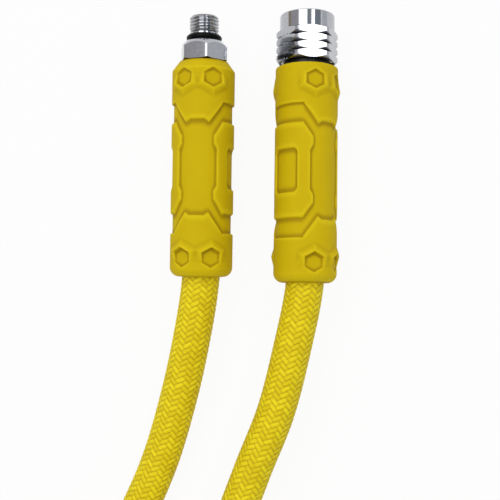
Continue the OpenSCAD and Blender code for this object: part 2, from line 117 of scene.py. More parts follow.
# %% Mesh helpers
def make_mesh(name, points, faces, matrix, sharp=None):
    """An object from points and faces, smooth but for edges over a sharp angle."""
    mesh = bpy.data.meshes.new(name)
    mesh.from_pydata(points.tolist(), [], faces)
    mesh.transform(matrix)
    mesh.polygons.foreach_set("use_smooth", [True] * len(mesh.polygons))
    if sharp is not None:
        mesh.set_sharp_from_angle(angle=math.radians(sharp))
    mesh.update()
    piece = bpy.data.objects.new(name, mesh)
    bpy.context.scene.collection.objects.link(piece)
    return piece


def store(piece, name, domain, values):
    """Keep one number for each point or face, for a material to read."""
    layer = piece.data.attributes.new(name, "FLOAT", domain)
    layer.data.foreach_set("value", np.ascontiguousarray(values, np.float32).ravel())


def turned(name, rings, angles, matrix, sharp=None):
    """A closed form about Z: each ring is a radius and a height, or arrays of
    them, one for each angle. The last ring joins the first."""
    count, around = len(rings), len(angles)
    points = np.empty((count, around, 3))
    for row, (radius, height) in zip(points, rings):
        row[:, 0] = radius * np.cos(angles)
        row[:, 1] = radius * np.sin(angles)
        row[:, 2] = height
    faces = []
    for i in range(count):
        a, b = i * around, (i + 1) % count * around
        for j in range(around):
            k = (j + 1) % around
            faces.append((a + j, b + j, b + k, a + k))
    return make_mesh(name, points.reshape(-1, 3), faces, matrix, sharp)


def whole_turn(count):
    """Evenly spaced angles round the axis."""
    return np.linspace(0, 2 * math.pi, count, endpoint=False)


def hollows(rings, count, within, depth):
    """How deep each point of a turned form lies in a hollow, for painted shade
    there, from a rule for its radius, on the rings whose greatest height is within."""
    return [depth(radius) * np.ones(count) if within(np.max(height)) else np.zeros(count)
            for radius, height in rings]


def soft_step(distance, width):
    """From 0 to 1 as a signed distance passes through an edge of this width."""
    t = np.clip(distance / width + 0.5, 0, 1)
    return t * t * (3 - 2 * t)


# %% [markdown]
# ## Helpers for materials
#
# Colours are written as the eye reads them, in sRGB, and turned to the linear
# values that a shader needs. One function adds a node, sets it and links it.

# %% Material helpers
MIX_FACTOR, MIX_A, MIX_B, MIX_RESULT = 0, 6, 7, 2   # sockets of a colour mix


def linear(hex_colour):
    """An sRGB hex colour as linear RGBA."""
    out = []
    for i in (1, 3, 5):
        c = int(hex_colour[i:i + 2], 16) / 255
        out.append(c / 12.92 if c <= 0.04045 else ((c + 0.055) / 1.055) ** 2.4)
    return (*out, 1.0)


def add_node(tree, kind, settings=None, values=None, links=None):
    """A node with its settings, its input values and its links."""
    node = tree.nodes.new(kind)
    for key, value in (settings or {}).items():
        setattr(node, key, value)
    for socket, value in (values or {}).items():
        node.inputs[socket].default_value = value
    for socket, source in (links or {}).items():
        tree.links.new(source, node.inputs[socket])
    return node


def empty_material(name):
    """A material without nodes, and its tree."""
    material = bpy.data.materials.new(name)
    material.use_nodes = True
    material.node_tree.nodes.clear()
    return material, material.node_tree


def new_material(name, **values):
    """A material with one Principled shader, whose sockets take these values."""
    material, tree = empty_material(name)
    shader = add_node(tree, "ShaderNodeBsdfPrincipled",
                      values={key.replace("_", " "): v for key, v in values.items()})
    add_node(tree, "ShaderNodeOutputMaterial", links={"Surface": shader.outputs["BSDF"]})
    return material, tree, shader


def per_mm(size):
    """Texture scale for a pattern of this size in millimetres."""
    return 1000 / size


# %% [markdown]
# ## Where a piece belongs
#
# A remade piece rides on the same body as the CAD node that it stands for.

# %% Placing helpers
def wear(piece, material, body, slot, *nodes):
    """Give a piece its finish and body, and let it stand for its CAD nodes."""
    piece.data.materials.append(material)
    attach(piece, body)
    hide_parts(*nodes)
    print(piece.name, "rides on", body, "with", material.name)


def finish_nodes(material, *names):
    """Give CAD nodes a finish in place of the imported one."""
    for name in names:
        for slot in frame["nodes"][name].material_slots:
            slot.material = material
    print(material.name, "on", len(names), "nodes")


# %% [markdown]
# ## The hose's route
#
# The hose is a fixed length of stiff rubber tube. It leaves each protector
# straight, follows the two gentle bends seen from above, and its spare length
# lies in one open loop on the ground. The route is a list of given points, the
# same as in the CAD source, with a smooth curve through them.

# %% Route
HOSE_D = 12.2   # mm
LEAD = 20       # mm, straight before and after the route
TUCK = 2.5      # mm that the cover runs on inside each protector
STEPS = 40      # curve points from one stop to the next
ROUTE = [(-20, -62.5, 10.2), (-24.5, -83.5, 8.5), (-30.5, -104, 6.9), (-39, -123.5, 6.1),
         (-49.5, -142, 6.1), (-61.5, -159.5, 6.1), (-75, -176, 6.1), (-84, -195, 6.1),
         (-85, -216, 6.1), (-76.5, -235.5, 6.1), (-61, -250, 6.1), (-41, -256.5, 6.1),
         (-20, -254.5, 6.1), (-1.5, -243.5, 6.1), (10.5, -226, 6.2), (14, -205.5, 7),
         (9, -185, 8.2), (-1, -166, 10), (-7.5, -146, 11.7), (-6.5, -125, 13.4),
         (0, -104.5, 14.9), (7.5, -84.5, 15.8), (12.5, -64, 15.9)]


def on_axis(matrix, station):
    """The point of an end's axis this many mm out of the rim."""
    return np.array(matrix @ Vector((0, 0, station))) / MM


def smooth_route():
    """Points close together on the curve through the stops, in mm."""
    stops = [on_axis(at_thread, LEAD - BOOT_LEN), on_axis(at_thread, -BOOT_LEN)]
    stops += [np.array(p, float) for p in ROUTE]
    stops += [on_axis(at_coupler, -BOOT_LEN), on_axis(at_coupler, LEAD - BOOT_LEN)]
    t = np.linspace(0, 1, STEPS, endpoint=False)[:, None]
    spans = []
    for a, b, c, d in zip(stops, stops[1:], stops[2:], stops[3:]):
        spans.append(0.5 * (2 * b + (c - a) * t + (2 * a - 5 * b + 4 * c - d) * t ** 2
                            + (3 * b - a - 3 * c + d) * t ** 3))
    return np.vstack(spans + [stops[-2][None, :]])


def stations_along(points):
    """How far along the curve each point lies, in mm."""
    return np.r_[0, np.cumsum(np.linalg.norm(np.diff(points, axis=0), axis=1))]


route = smooth_route()

# %% [markdown]
# ## The braid
#
# The cover is a tube of 32 flat bundles of yarn, 16 winding each way, each
# passing over two and under two. Where a bundle is on top it shows as a short
# float, and the floats stand in columns, so the eye reads a herringbone along
# the hose. A picture of that would look flat at the hose's edge. Here the
# mesh itself follows the bundles: its edges run along both windings, so every
# float has its own rounded crown and the gaps are real hollows.

# %% Braid numbers
BUNDLES = 16          # winding each way
BUNDLE_PITCH = 1.9    # mm along the hose from one bundle to the next
CELL = 4              # mesh steps across a bundle
SINK = 0.42           # mm from a crown down to the gap beside it
ARCH = 0.16           # mm that a float's ends dip below its middle
CROWN_R = HOSE_D / 2 + 0.03
LEFT_FIRST = 97       # where the numbers of the bundles that wind left start

AROUND = CELL * BUNDLES
ROW_STEP = BUNDLE_PITCH / (2 * CELL)
braid_line = np.vstack([on_axis(at_thread, TUCK - BOOT_LEN), route,
                        on_axis(at_coupler, TUCK - BOOT_LEN)])
braid_stations = stations_along(braid_line)
last_row = int(braid_stations[-1] / ROW_STEP)
print("braid rows", last_row, "of", AROUND)


# %% Braid relief
def braid_grid(rows):
    """For each point of these rows, its place round the hose in half steps and
    its coordinates across the two windings, counted in bundles."""
    d = np.arange(rows)[:, None]
    s = 2 * np.arange(AROUND)[None, :] + d % 2
    return s, (s - d) / (2 * CELL), (s + d) / (2 * CELL)


def float_at(p, q):
    """The float that covers a point, from its two bundle coordinates.

    Gives the distance across it (0 on its middle, 1 at its edge), the way
    along it (0 to 1), its bundle's number and if it winds to the right."""
    i, j = np.floor(p), np.floor(q)
    right = np.mod(i + j, 4) < 2
    across = np.abs(np.where(right, p - i, q - j) - 0.5) * 2
    along = np.where(right, np.mod(q + i, 4), np.mod(p + j - 2, 4)) / 2
    return across, along, np.where(right, i, j + LEFT_FIRST), right


def crown_and_end(p, q):
    """Two heights from 0 to 1: domed across a float, and falling to its ends."""
    across, along, _, _ = float_at(p, q)
    crown = np.sqrt(np.clip(1 - 0.96 * across ** 3, 0, 1))
    return crown, np.sin(np.pi * np.clip(along, 0.02, 0.98)) ** 0.6


# %% [markdown]
# A row of points is half a step round from the row before it, so the faces
# are diamonds whose sides run along the bundles. A point on the line between
# floats takes the mean height of the floats around it, so the skin is closed.

# %% Braid points
def transport_frame(points):
    """Unit vectors beside and above a curve, without twist."""
    along = np.gradient(points, axis=0)
    along /= np.linalg.norm(along, axis=1)[:, None]
    beside = np.empty_like(along)
    side = np.cross(along[0], [0, 0, 1])
    for n, direction in enumerate(along):
        side = side - direction * side.dot(direction)
        side = side / np.linalg.norm(side)
        beside[n] = side
    return beside, np.cross(beside, along)


def at_rows(values):
    """Values along the braid's middle line, read off at each row."""
    rows = np.arange(last_row + 1) * ROW_STEP
    return np.stack([np.interp(rows, braid_stations, values[:, k]) for k in range(3)],
                    axis=1)[:, None, :]


def braid_points():
    """Every point of the braid, with how deep it lies in a gap."""
    s, p, q = braid_grid(last_row + 1)
    near = 0.02   # of a bundle's width, to each side of the point
    corners = [crown_and_end(p + dp, q + dq) for dp in (-near, near) for dq in (-near, near)]
    crown = sum(c for c, _ in corners) / 4
    end = sum(e for _, e in corners) / 4
    radius = (CROWN_R - SINK * (1 - crown) - ARCH * (1 - end))[..., None]
    angle = (math.pi * s / AROUND)[..., None]
    beside, above = (at_rows(v) for v in transport_frame(braid_line))
    points = at_rows(braid_line) + radius * (np.cos(angle) * beside + np.sin(angle) * above)
    return points, 1 - crown * (0.6 + 0.4 * end)


skin, depth = braid_points()
print("braid points", skin.shape[0] * skin.shape[1])


# %% Braid faces
def braid_faces():
    """Diamonds, each reaching over three rows."""
    faces = []
    for d in range(1, last_row):
        below, here, over = (d - 1) * AROUND, d * AROUND, (d + 1) * AROUND
        shift = (d - 1) % 2
        for k in range(AROUND):
            left, right = (k - 1 + shift) % AROUND, (k + shift) % AROUND
            faces.append((below + k, here + left, over + k, here + right))
    return faces


def end_fan(row, centre, flip):
    """Triangles from a centre point to the zigzag between two rows."""
    even, odd = (row, row + 1) if row % 2 == 0 else (row + 1, row)
    zigzag = [r * AROUND + k for k in range(AROUND) for r in (even, odd)]
    fan = [(centre, a, b) for a, b in zip(zigzag, zigzag[1:] + zigzag[:1])]
    return [(c, b, a) for c, a, b in fan] if flip else fan


BUNDLE_SHIFT, FLOAT_SHIFT = 3.7, 31   # keep the yarn of neighbours from matching


def scattered(number):
    """A share from 0 to 1 that jumps from number to number, the same each run."""
    return np.modf(np.abs(np.sin(number * 12.9898) * 43758.5))[0]


def braid_yarn():
    """For each corner of each diamond, its place on its own bundle."""
    _, p, q = braid_grid(last_row - 1)
    half = 0.5 / CELL
    _, _, bundle, right = float_at(p - half, q + half)
    i, j = np.floor(p - half), np.floor(q + half)
    corners = []
    for dp, dq in ((0, 0), (-1, 0), (-1, 1), (0, 1)):
        pc, qc = p + dp / CELL, q + dq / CELL
        corners.append(np.stack([np.where(right, pc - i, qc - j),
                                 np.where(right, qc, pc) + bundle * BUNDLE_SHIFT], axis=-1))
    number = bundle + FLOAT_SHIFT * np.floor(np.where(right, q + i, p + j - 2) / 4)
    return np.stack(corners, axis=2), scattered(number)


# %% Braid mesh
count = skin.shape[0] * AROUND
all_points = np.vstack([skin.reshape(-1, 3), braid_line[:1], braid_line[-1:]])
diamonds = braid_faces()
caps = end_fan(0, count, False) + end_fan(last_row - 1, count + 1, True)
braid = make_mesh("braided_hose_cover", all_points, diamonds + caps, Matrix.Scale(MM, 4))
yarn, tone = braid_yarn()
inner = np.zeros(len(caps))
store(braid, "gap", "POINT", np.r_[depth.ravel(), 1, 1])
store(braid, "tone", "FACE", np.r_[tone.ravel(), inner])
uv = np.vstack([yarn.reshape(-1, 2), np.zeros((3 * len(caps), 2))])
braid.data.uv_layers.new(name="yarn").data.foreach_set("uv", uv.astype(np.float32).ravel())
print("braid faces", len(braid.data.polygons))

# %% [markdown]
# ## Finish of the braid
#
# The yarn is polyester: bright, slightly silky filaments laid side by side.
# The fibres are far too fine to see one by one, so each bundle is given seven
# strands where a real one has some hundreds, and their paler streaks are a
# painted sheen. The gaps are painted darker, as painted shade.

# %% Woven polyester yarn
yarn_finish, tree, shader = new_material(
    "woven_polyester_yarn", Roughness=0.55, IOR=1.55, Specular_IOR_Level=0.1,
    Sheen_Weight=0.04, Sheen_Roughness=0.4)
STRANDS = 7          # drawn across a bundle
TONE_SHARE = 0.45    # how much the floats differ in tone
place = add_node(tree, "ShaderNodeUVMap", {"uv_map": "yarn"})
stretch = add_node(tree, "ShaderNodeMapping", values={"Scale": (STRANDS, 1.2, 1)},
                   links={"Vector": place.outputs["UV"]})
fibre = add_node(tree, "ShaderNodeTexNoise", {"noise_dimensions": "2D"},
                 {"Scale": 1.0, "Detail": 2.0, "Roughness": 0.7},
                 {"Vector": stretch.outputs["Vector"]})
tone_node = add_node(tree, "ShaderNodeAttribute", {"attribute_name": "tone"})
gap_node = add_node(tree, "ShaderNodeAttribute", {"attribute_name": "gap"})
# The floats differ at random in tone, which is real; the paler streaks along the strands are a
# painted sheen.
tone_and_sheen = add_node(tree, "ShaderNodeMath", {"operation": "MULTIPLY_ADD"}, {1: TONE_SHARE},
                 {0: tone_node.outputs["Fac"], 2: fibre.outputs["Fac"]})
yarn_colour = add_node(tree, "ShaderNodeMix", {"data_type": "RGBA"},
                       {MIX_A: linear("#D2B200"), MIX_B: linear("#FAE61E")},
                       {MIX_FACTOR: tone_and_sheen.outputs["Value"]})
# Painted shade: the gaps between the floats are painted a darker yellow, the deeper the darker.
gap_shade = add_node(tree, "ShaderNodeMapRange",
                      values={"From Min": 0.15, "From Max": 0.85, "To Max": 0.9},
                      links={"Value": gap_node.outputs["Fac"]})
cover_colour = add_node(tree, "ShaderNodeMix", {"data_type": "RGBA"},
                        {MIX_B: linear("#9E7E00")},
                        {MIX_FACTOR: gap_shade.outputs["Result"],
                         MIX_A: yarn_colour.outputs[MIX_RESULT]})
tree.links.new(cover_colour.outputs[MIX_RESULT], shader.inputs["Base Color"])
fibre_bump = add_node(tree, "ShaderNodeBump", values={"Strength": 0.5, "Distance": 0.06 * MM},
                      links={"Height": fibre.outputs["Fac"]})
tree.links.new(fibre_bump.outputs["Normal"], shader.inputs["Normal"])

# %% Finish on the hose
wear(braid, yarn_finish, "hose_assembly", "braided_hose", "hose")
finish_nodes(yarn_finish, "thread_end_hose", "coupler_end_hose")

# %% [markdown]
# ## The protectors
#
# A protector is one rubber moulding. Its skin is a map of heights: bands
# round both ends, a shield on two opposite panels, pads with a sunk pocket on
# the other two, and hexagon bosses with a pit in each. So it is modelled as
# one: a fine grid round the axis, whose radius comes from signed distances to
# each raised outline. A soft step across each outline gives the rounded edge
# that a mould leaves.

# %% Outlines of the moulding
RECESS_R, BAND_R, BOSS_R = 9.4, 10.1, 10.85   # mm
BAND_LEN = 13.8
TAIL_R, TAIL_ROUND = 7.2, 3
BOSS_FOOT_R = BAND_R - 0.35        # a boss starts a little under the band
BOSS_CLEAR, BOSS_FULL = 0.8, 8     # mm: it starts this far past the lip, and is full here
PIT_INSET, PIT_ANGLE, PIT_DEPTH = 6.2, 29, 1.5
POCKET_HALF, POCKET_START, POCKET_CORNER = 4.9, 28, 1.7
BORE_R = HOSE_D / 2 + 0.15
BREAK = 0.1                        # mm taken off an inner corner


def arc(angle):
    """Distance round the skin for an angle in degrees."""
    return np.radians(angle) * BAND_R


def mirrored(half):
    """An outline from its right half, listed away from the rim."""
    return half + [(-x, y) for x, y in reversed(half)]


SHIELD = mirrored([(arc(14), 19.4), (arc(22.5), 20.4), (arc(50), 14.2), (arc(50), 12)])
PAD = mirrored([(arc(39), 20), (arc(58), 24.6), (arc(58), 27), (arc(52), 28.8), (arc(52), 45)])
BOSS_HEX = [(0, 4.7), (4.4, 2.35), (4.4, -2.35), (0, -4.7), (-4.4, -2.35), (-4.4, 2.35)]
PIT_HEX = [(0, 3.15), (3, 1.58), (3, -1.58), (0, -3.15), (-3, -1.58), (-3, 1.58)]


def inside(outline, x, y):
    """Signed distance in mm from points to an outline, positive inside it."""
    nearest, within = np.full(x.shape, np.inf), np.zeros(x.shape, bool)
    for (x0, y0), (x1, y1) in zip(outline, outline[1:] + outline[:1]):
        ex, ey = x1 - x0, y1 - y0
        t = np.clip(((x - x0) * ex + (y - y0) * ey) / (ex * ex + ey * ey), 0, 1)
        nearest = np.minimum(nearest, np.hypot(x - x0 - ex * t, y - y0 - ey * t))
        if ey:
            within ^= ((y0 > y) != (y1 > y)) & (x < x0 + (y - y0) * ex / ey)
    return np.where(within, nearest, -nearest)


def inside_pocket(x, y):
    """Signed distance in mm to a pad's pocket, which has rounded corners."""
    past_x = np.abs(x) - POCKET_HALF + POCKET_CORNER
    past_y = POCKET_START + POCKET_CORNER - y
    outside = np.hypot(np.maximum(past_x, 0), np.maximum(past_y, 0))
    return POCKET_CORNER - (outside + np.minimum(np.maximum(past_x, past_y), 0))


# %% Heights of the moulding
EDGE = 0.5         # mm, the rounding of a raised edge
BOSS_EDGE = 2.8    # a boss swells up out of the skin with no corner
PIT_EDGE = 0.42    # a pit is cut crisp
EDGE_RISE = 0.14   # mm over the skin round it that makes a point a full edge


def banded(round_shield, round_pad, from_end):
    """Radius of the skin with its end bands, shields and pads."""
    pad = soft_step(inside(PAD, round_pad, from_end), EDGE)
    pad = pad * (1 - soft_step(inside_pocket(round_pad, from_end), EDGE))
    raised = np.maximum.reduce([soft_step(BAND_LEN - from_end, EDGE),
                                soft_step(inside(SHIELD, round_shield, from_end), EDGE), pad])
    return RECESS_R + (BAND_R - RECESS_R) * raised


def bossed(radius, round_shield, from_end, start):
    """The skin with two hexagon bosses that swell out of it, and their pits."""
    swell = np.clip((from_end - start) / (BOSS_FULL - start), 0, 1)
    boss_r = BOSS_FOOT_R + (BOSS_R - BOSS_FOOT_R) * swell
    places = [(round_shield - arc(side), from_end - PIT_INSET)
              for side in (-PIT_ANGLE, PIT_ANGLE)]
    for x, y in places:
        boss = soft_step(inside(BOSS_HEX, x, y), BOSS_EDGE)
        radius = radius + boss * np.maximum(boss_r - radius, 0)
    for x, y in places:
        pit = soft_step(inside(PIT_HEX, x, y), PIT_EDGE)
        floor_r = (BOSS_R - PIT_DEPTH) / np.cos(x / BAND_R)   # a flat floor
        radius = radius + pit * np.minimum(floor_r - radius, 0)
    return radius


def end_limit(down, lip_r, lip_len):
    """The most that the bevelled lip and the rounded tail let the radius be."""
    lip = np.where(down < lip_len, lip_r + (BAND_R - lip_r) * down / lip_len, BOSS_R)
    to_tail = np.clip((BOOT_LEN - down) / TAIL_ROUND, 0, 1)
    tail = TAIL_R + (BAND_R - TAIL_R) * np.sqrt(1 - (1 - to_tail) ** 2)
    return np.minimum(lip, np.where(to_tail < 1, tail, BOSS_R))


def skin_radius(angle, down, lip_r, lip_len, draw):
    """Radius of the skin, by the angle from a shield and the way from the rim.

    The relief near the rim is drawn this much further up over it."""
    from_end = np.minimum(down + draw, BOOT_LEN - down)
    round_shield = arc((angle + 90) % 180 - 90)
    round_pad = arc(angle % 180 - 90)
    start = np.where(down < BOOT_LEN / 2, lip_len, TAIL_ROUND) + BOSS_CLEAR
    radius = bossed(banded(round_shield, round_pad, from_end), round_shield, from_end, start)
    return np.minimum(radius, end_limit(down, lip_r, lip_len))


# %% Protector mesh
GRID_AROUND = 380
END_LEN, END_ROW, MIDDLE_ROW = 14, 0.17, 0.34   # mm: rows lie closer at the ends
DOWNS = np.r_[np.arange(0, END_LEN, END_ROW),
              np.arange(END_LEN, BOOT_LEN - END_LEN, MIDDLE_ROW),
              np.arange(BOOT_LEN - END_LEN, BOOT_LEN, END_ROW), BOOT_LEN]


def raised_edges(grid):
    """How far each point stands over the skin round it, from -1 to 1."""
    smooth = grid
    for shift in (1, 2, 3):
        smooth = (smooth + np.roll(smooth, shift, 1) + np.roll(smooth, -shift, 1)) / 3
        padded = np.pad(smooth, ((shift, shift), (0, 0)), "edge")
        smooth = (smooth + padded[:-2 * shift] + padded[2 * shift:]) / 3
    return np.clip((grid - smooth) / EDGE_RISE, -1, 1)


def protector(name, matrix, turn, lip_r, lip_len, socket_r, socket_len, draw):
    """A protector, turned by these degrees, with a socket for its ferrule."""
    angles = whole_turn(GRID_AROUND)
    facing = np.degrees(angles) + 90 - turn
    grid = skin_radius(*np.meshgrid(facing, DOWNS), lip_r, lip_len, draw)
    rings = [(row, -down) for row, down in zip(grid, DOWNS)]
    rings += [(TAIL_R - 2 * BREAK, -BOOT_LEN), (BORE_R + BREAK, -BOOT_LEN),
              (BORE_R, BREAK - BOOT_LEN), (BORE_R, -socket_len), (socket_r, -socket_len),
              (socket_r, -2 * BREAK), (socket_r + BREAK, 0), (lip_r - 2 * BREAK, 0)]
    piece = turned(name, rings, angles, matrix)
    bore = np.zeros((len(rings) - len(DOWNS), GRID_AROUND))
    store(piece, "edge", "POINT", np.vstack([raised_edges(grid), bore]))
    print(name, len(piece.data.polygons), "faces")
    return piece


thread_boot = protector("threaded_end_protector", at_thread, turn=-7.5, lip_r=7.9,
                        lip_len=3, socket_r=7.0, socket_len=20.5, draw=0)
coupler_boot = protector("coupler_end_protector", at_coupler, turn=42.3, lip_r=10,
                         lip_len=0.4, socket_r=7.55, socket_len=29, draw=0.9)

# %% [markdown]
# ## Finish of the protectors
#
# This is a soft, filled rubber from a blasted steel mould: quite matt, the
# same colour right through, with a fine tooth to its skin. Raised edges come
# up paler, partly from rubbing and partly as a painted highlight, and the
# hollows are painted darker, as painted shade.

# %% Moulded rubber
rubber_finish, tree, shader = new_material(
    "moulded_yellow_rubber", Roughness=0.7, IOR=1.5, Specular_IOR_Level=0.12)
place = add_node(tree, "ShaderNodeTexCoord")
cloud = add_node(tree, "ShaderNodeTexNoise", values={"Scale": per_mm(9), "Detail": 3.0},
                 links={"Vector": place.outputs["Object"]})
body_colour = add_node(tree, "ShaderNodeMix", {"data_type": "RGBA"},
                       {MIX_A: linear("#CDB100"), MIX_B: linear("#D6BB00")},
                       {MIX_FACTOR: cloud.outputs["Fac"]})
edge_node = add_node(tree, "ShaderNodeAttribute", {"attribute_name": "edge"})
# Raised edges are painted paler: partly rubbed wear, partly a painted highlight.
wear_and_highlight = add_node(tree, "ShaderNodeMapRange", values={"From Max": 1.0, "To Max": 0.55},
                  links={"Value": edge_node.outputs["Fac"]})
# Painted shade: the hollows of the moulding are painted darker.
shaded_hollow = add_node(tree, "ShaderNodeMapRange", values={"From Max": -1.0, "To Max": 0.6},
                  links={"Value": edge_node.outputs["Fac"]})
paler = add_node(tree, "ShaderNodeMix", {"data_type": "RGBA"}, {MIX_B: linear("#E6CE14")},
                 {MIX_FACTOR: wear_and_highlight.outputs["Result"], MIX_A: body_colour.outputs[MIX_RESULT]})
deeper = add_node(tree, "ShaderNodeMix", {"data_type": "RGBA"}, {MIX_B: linear("#8E6C00")},
                  {MIX_FACTOR: shaded_hollow.outputs["Result"], MIX_A: paler.outputs[MIX_RESULT]})
tree.links.new(deeper.outputs[MIX_RESULT], shader.inputs["Base Color"])
tooth = add_node(tree, "ShaderNodeTexNoise", values={"Scale": per_mm(0.35), "Detail": 2.0},
                 links={"Vector": place.outputs["Object"]})
tooth_bump = add_node(tree, "ShaderNodeBump", values={"Strength": 0.35, "Distance": 0.03 * MM},
                      links={"Height": tooth.outputs["Fac"]})
tree.links.new(tooth_bump.outputs["Normal"], shader.inputs["Normal"])
wear(thread_boot, rubber_finish, "hose_assembly", "yellow_rubber", "thread_boot")
wear(coupler_boot, rubber_finish, "hose_assembly", "yellow_rubber", "coupler_boot")

# %% [markdown]
# ## The threaded fitting
#
# Turned from one brass bar and chromed: a barbed tail for the hose, a 14 mm
# hexagon, a groove for the O-ring and a 3/8 inch thread. The angles it is
# sampled at lie closer near the hexagon's corners, which are slightly rounded.
# Where the cone over the hexagon meets a flat, the ring's height is worked out
# for each angle, which gives the arcs that every nut shows. The thread's crest
# climbs one pitch in a turn.

# %% Threaded fitting numbers
AIR_R = 1.75
TAIL_Z = -15.7          # mm from the rim to the end of the barbed tail
BARBS, BARB_PITCH, BARB_FOOT_R, BARB_R = 4, 3, 2.75, 3.2
NECK_R, NECK_BASE, NECK_TOP = 4.2, -3.7, -2.5   # the ferrule holds on here
SHOULDER_R = 5.6        # under the hexagon, inside the protector
HEX_BASE, HEX_TOP, HEX_AF, HEX_TURN = 0.4, 7.1, 14, 10.3
CHAMFER_R = 7.35        # the hexagon's lower corners are cut back from here
LEAST_CHAMFER = 0.03    # mm, so that no face of the chamfer closes up
CONE_R = 5.6            # where the turned cone over the hexagon ends
CORNER_SHARPNESS = 42   # the higher, the less the hexagon's corners are rounded
THREAD_R, ROOT_R, THREAD_PITCH = 4.76, 4.38, 25.4 / 24
THREAD_BASE, THREAD_TIP = 10.5, 15.0
THREAD_FROM, THREAD_ROW = 10.1, 0.0735   # mm: the first row and the next
LEAD_IN = 0.7           # mm of taper at the thread's tip
TIP_R, TIP_MOUTH_R = 3.9, 2.6   # of the tip's flat face
GROOVE_FLOOR_R, GROOVE_TOP = 4.05, 8.9
COLLAR_R = 4.86         # between the O-ring's groove and the thread
SEAL_R, SEAL_THICK, SEAL_Z = 4.85, 1.76, 8.0   # the O-ring's middle line
SEAL_SIDES, SEAL_AROUND = 24, 96
THREAD_SHADE_DEPTH = 0.6      # mm deep in the thread where the painted shade is darkest


def hexagon_radius(angles, corner):
    """Radius of a hexagon with softly rounded corners, one at this angle."""
    middles = corner + np.radians(np.arange(30, 390, 60))
    near = np.clip(np.cos(angles[:, None] - middles), 0, 1) ** CORNER_SHARPNESS
    return HEX_AF / 2 / near.sum(axis=1) ** (1 / CORNER_SHARPNESS)


def thread_ring(angles, z):
    """Radius of a right-handed thread at height z."""
    wave = np.abs(2 * np.mod(z / THREAD_PITCH - angles / (2 * math.pi), 1) - 1)
    crest = np.clip(1.5 * wave - 0.25, 0, 1)
    crest = crest * np.clip((z - THREAD_BASE + 0.35) / 0.4, 0, 1)   # runs out at its base
    lead_in = THREAD_R - max(0, z - THREAD_TIP + LEAD_IN)
    return np.minimum(ROOT_R + (THREAD_R - ROOT_R) * crest, lead_in)


# %% Threaded fitting mesh
first_corner = math.radians(HEX_TURN - 90)
from_corner = np.r_[np.arange(-8, 8.01, 1), np.arange(10.75, 50, 2.75)]   # degrees
angles = first_corner + np.radians((np.arange(0, 360, 60)[:, None] + from_corner).ravel())
flats = hexagon_radius(angles, first_corner)
chamfer = LEAST_CHAMFER + np.maximum(flats - CHAMFER_R, 0) / 2
rings = [(AIR_R, TAIL_Z + 0.1)]
for barb in range(BARBS):
    base = TAIL_Z + BARB_PITCH * barb
    rings += [(BARB_FOOT_R, base), (BARB_R, base + BARB_PITCH - 0.1)]
rings += [(2.8, NECK_BASE - 0.05), (NECK_R, NECK_BASE), (NECK_R, NECK_TOP),
          (SHOULDER_R, NECK_TOP + 0.02), (SHOULDER_R, HEX_BASE),
          (np.minimum(flats, CHAMFER_R) - LEAST_CHAMFER, HEX_BASE), (flats, HEX_BASE + chamfer),
          (flats, HEX_TOP + CONE_R - flats), (CONE_R, HEX_TOP), (GROOVE_FLOOR_R, HEX_TOP),
          (GROOVE_FLOOR_R, GROOVE_TOP), (COLLAR_R - 0.1, GROOVE_TOP),
          (COLLAR_R, GROOVE_TOP + 0.1), (COLLAR_R, GROOVE_TOP + 0.5),
          (COLLAR_R - 0.15, GROOVE_TOP + 0.65), (GROOVE_FLOOR_R, GROOVE_TOP + 0.72)]
rings += [(thread_ring(angles, z), z)
          for z in np.arange(THREAD_FROM, THREAD_TIP + 0.01, THREAD_ROW)]
rings += [(TIP_R, THREAD_TIP), (TIP_MOUTH_R, THREAD_TIP),
          (TIP_MOUTH_R - 0.1, THREAD_TIP - 0.05), (AIR_R, THREAD_TIP - LEAD_IN)]
threaded = turned("threaded_fitting", rings[::-1], angles, at_thread, sharp=28)
# Painted shade: the thread's root is painted darker, the deeper the darker.
store(threaded, "shaded_hollow", "POINT", hollows(
    rings[::-1], len(angles), lambda top: top > HEX_TOP,
    lambda radius: np.clip((THREAD_R - radius) / THREAD_SHADE_DEPTH, 0, 1) ** 1.5))
print("threaded fitting", len(threaded.data.polygons), "faces")

# %% O-ring of the port
seal_rings = [(SEAL_R + SEAL_THICK / 2 * math.cos(a), SEAL_Z - SEAL_THICK / 2 * math.sin(a))
              for a in whole_turn(SEAL_SIDES)]
port_seal = turned("port_seal", seal_rings, whole_turn(SEAL_AROUND), at_thread)
print("port seal", len(port_seal.data.polygons), "faces")

# %% [markdown]
# ## The coupler's sleeve
#
# The sleeve is turned with four ribs, and then six flats are milled along it,
# which cut each rib into a long oval. Its rings follow the turned profile. A
# flat is a limit on the radius that changes with the angle, so each sloping
# side of a rib gets one more ring, at the height where the flat cuts it.

# %% Sleeve numbers
SLEEVE_BACK, SLEEVE_FRONT = 1.9, 17.5
RIB_R, GROOVE_R, NOSE_R = 10.05, 8.95, 8.9
RIBS, RIB_PITCH, RIB_LAND = 4, 2.55, 1.1
FIRST_RIB = SLEEVE_BACK + 1.5                   # the middle of the rib at the back
NOSE_REACH = 1.25                               # mm from the last rib's middle to the nose
FLAT_R, FLAT_TURN, FLATS = 8.93, 7, 6
SHADE_END = FIRST_RIB + 3.3 * RIB_PITCH         # no painted shade on the nose
MOUTH_R, MOUTH_BASE = 7.85, 13.8
LOCK_R, LOCK_TOP, LOCK_BASE = 7.05, 12.2, 9.6   # holds the balls in
SPRING_R = 8.49                                 # the bore over the spring
RING_R, RING_TOP, RING_BASE = 8.84, 2.9, 2.2    # the snap ring's groove


def sleeve_angles():
    """Angles that fall on the edges of the flats at the ribs' tops."""
    reach = math.acos(FLAT_R / RIB_R)
    steps = np.r_[np.linspace(-reach, reach, 40), math.pi / FLATS]
    middles = math.radians(FLAT_TURN - 90) + np.arange(FLATS) * 2 * math.pi / FLATS
    return (middles[:, None] + steps[None, :]).ravel()


